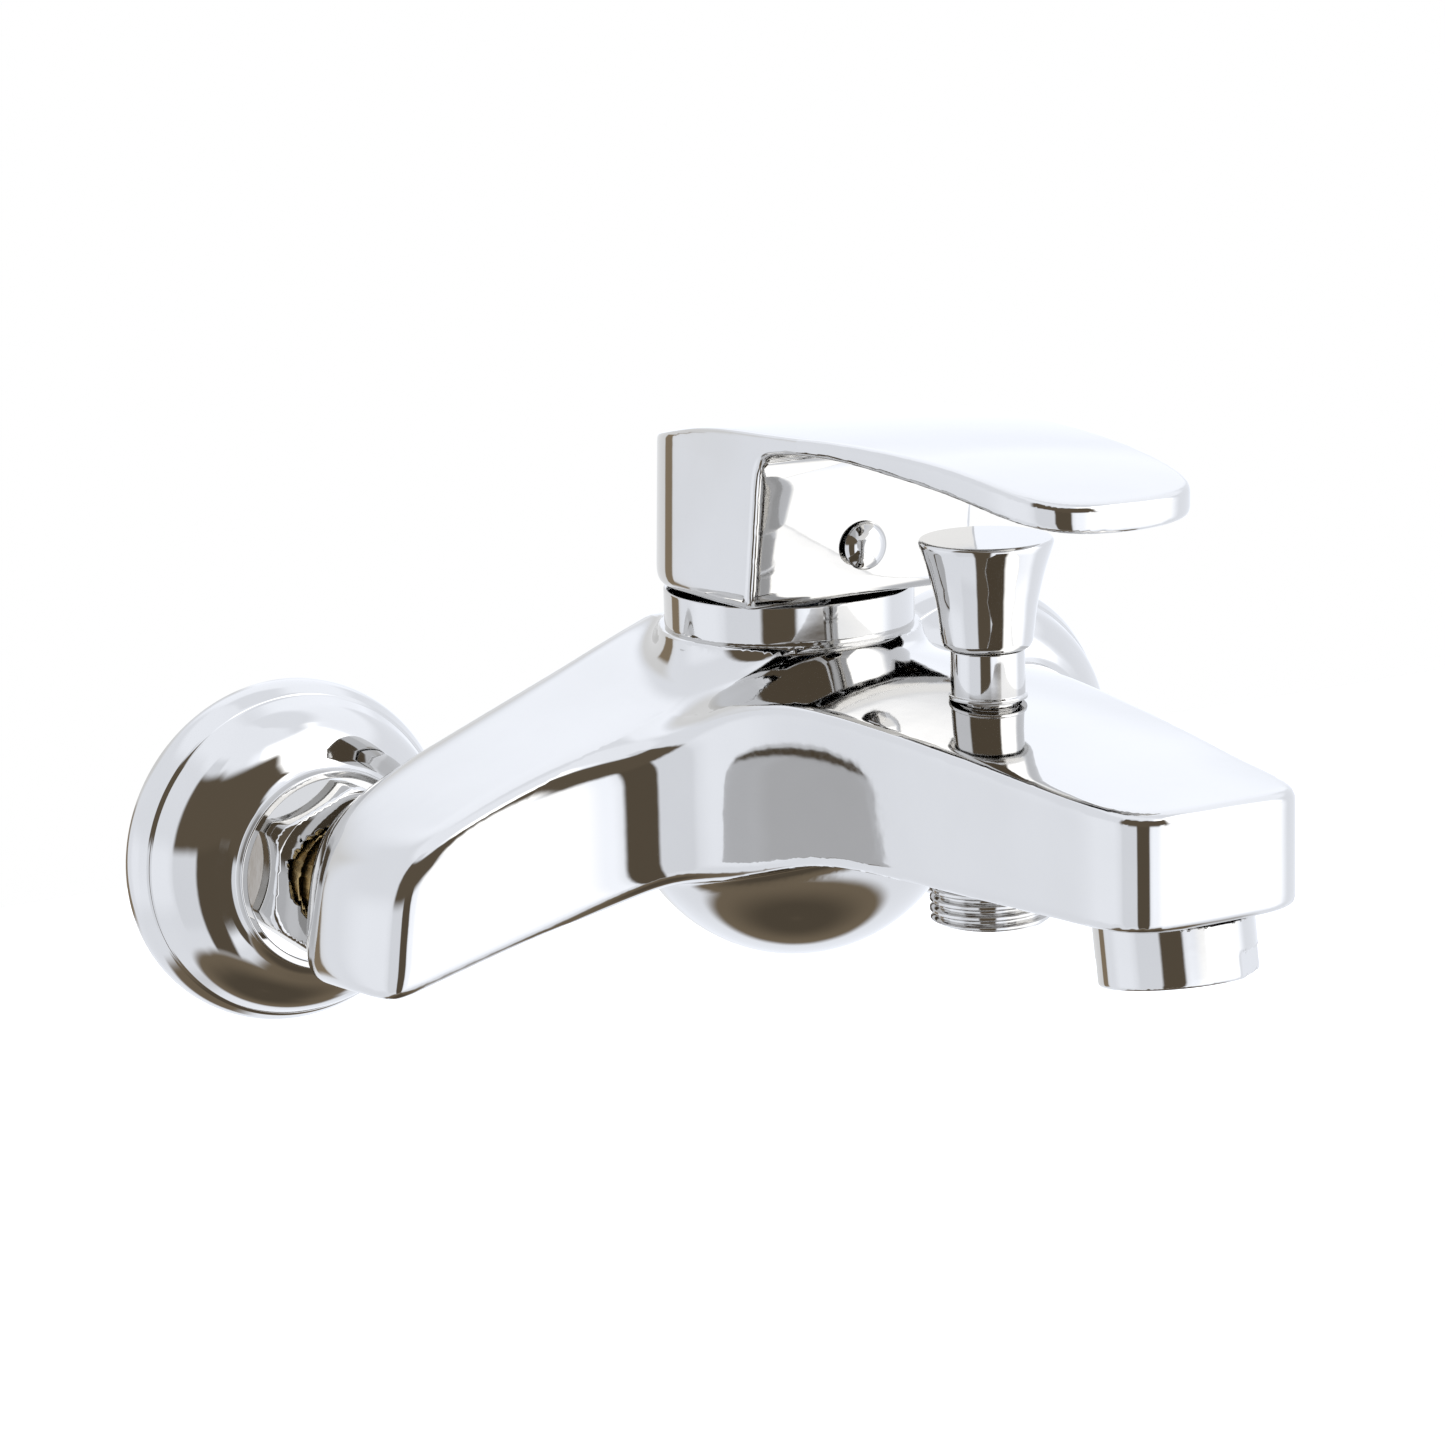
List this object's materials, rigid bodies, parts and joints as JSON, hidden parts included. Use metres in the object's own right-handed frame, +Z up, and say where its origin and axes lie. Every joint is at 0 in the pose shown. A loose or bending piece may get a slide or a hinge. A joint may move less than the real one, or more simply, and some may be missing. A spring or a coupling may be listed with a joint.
{
  "type": "wall mounted bath faucet",
  "caption": "Exposed chrome bath mixer: arched single lever, pull-up shower diverter, threaded hose outlet, tilted aerator, union nuts and bell-shaped wall covers.",
  "frame": {"origin": "on the wall plane, midway between the two supply inlets, at the height of their axes", "axes": "+Z up, -Y out of the wall along the spout, +X to the right of someone facing the wall"},
  "size_m": [0.2142, 0.205, 0.1165],
  "materials": {
    "chrome_body": "polished chrome plate on brass casting",
    "chrome_handle": "polished chrome plate on zinc casting",
    "chrome_trim": "polished chrome plate on turned brass",
    "chrome_pressed": "polished chrome plate on pressed brass sheet",
    "brass": "turned, uncoated",
    "steel": "stainless, ground",
    "rubber": "matt black",
    "white_plastic": "moulded, satin",
    "blue_plastic": "moulded, satin",
    "ceramic": "lapped alumina"
  },
  "bodies": {
    "mixer_body": {"body": "chrome_body", "cartridge_seal": "rubber", "cartridge_base": "white_plastic", "ceramic_disc_fixed": "ceramic", "cartridge_housing": "white_plastic", "cartridge_nut": "brass", "cap_ring": "chrome_trim", "diverter_sleeve": "chrome_trim", "diverter_o_ring": "rubber", "shower_outlet": "chrome_trim", "aerator_housing": "chrome_trim", "aerator_insert": "white_plastic", "aerator_diffuser": "white_plastic", "aerator_screen": "steel", "aerator_washer": "rubber", "union_tail_left": "brass", "union_gasket_left": "rubber", "wall_connector_left": "chrome_trim", "union_tail_right": "brass", "union_gasket_right": "rubber", "wall_connector_right": "chrome_trim"},
    "mixing_disc": {"ceramic_disc_moving": "ceramic"},
    "swivel": {"cartridge_rotor": "blue_plastic", "cartridge_pivot_pin": "steel"},
    "lever": {"cartridge_stem": "steel", "handle": "chrome_handle", "handle_set_screw": "steel", "screw_cap": "chrome_trim"},
    "diverter": {"diverter_knob": "chrome_trim", "diverter_stem": "brass", "diverter_valve_disc": "rubber"},
    "nut_left": {"union_nut_left": "chrome_trim"},
    "cover_left": {"escutcheon_left": "chrome_pressed"},
    "nut_right": {"union_nut_right": "chrome_trim"},
    "cover_right": {"escutcheon_right": "chrome_pressed"}
  },
  "joints": [
    {"name": "handle_swivel", "type": "hinge", "parent": "mixer_body", "child": "swivel", "pos_m": [0, -0.058, 0.038], "axis": [0, 0, 1], "range_deg": [-50, 50]},
    {"name": "handle_lift", "type": "hinge", "parent": "swivel", "child": "lever", "pos_m": [0, -0.058, 0.038], "axis": [-1, 0, 0], "range_deg": [0, 18]},
    {"name": "mixing_disc_slide", "type": "slide", "parent": "swivel", "child": "mixing_disc", "axis": [0, -1, 0], "range_m": [0, 0.0037]},
    {"name": "diverter_pull", "type": "slide", "parent": "mixer_body", "child": "diverter", "axis": [0, 0, 1], "range_m": [0, 0.0085]},
    {"name": "union_nut_spin_left", "type": "hinge", "parent": "mixer_body", "child": "nut_left", "pos_m": [-0.075, -0.02, 0], "axis": [0, 1, 0], "continuous": true},
    {"name": "escutcheon_slide_left", "type": "slide", "parent": "mixer_body", "child": "cover_left", "axis": [0, -1, 0], "range_m": [0, 0.006]},
    {"name": "union_nut_spin_right", "type": "hinge", "parent": "mixer_body", "child": "nut_right", "pos_m": [0.075, -0.02, 0], "axis": [0, 1, 0], "continuous": true},
    {"name": "escutcheon_slide_right", "type": "slide", "parent": "mixer_body", "child": "cover_right", "axis": [0, -1, 0], "range_m": [0, 0.006]}
  ],
  "couplings": [
    {"joint": "mixing_disc_slide", "follows": "handle_lift", "m_per_rad": 0.01146}
  ]
}
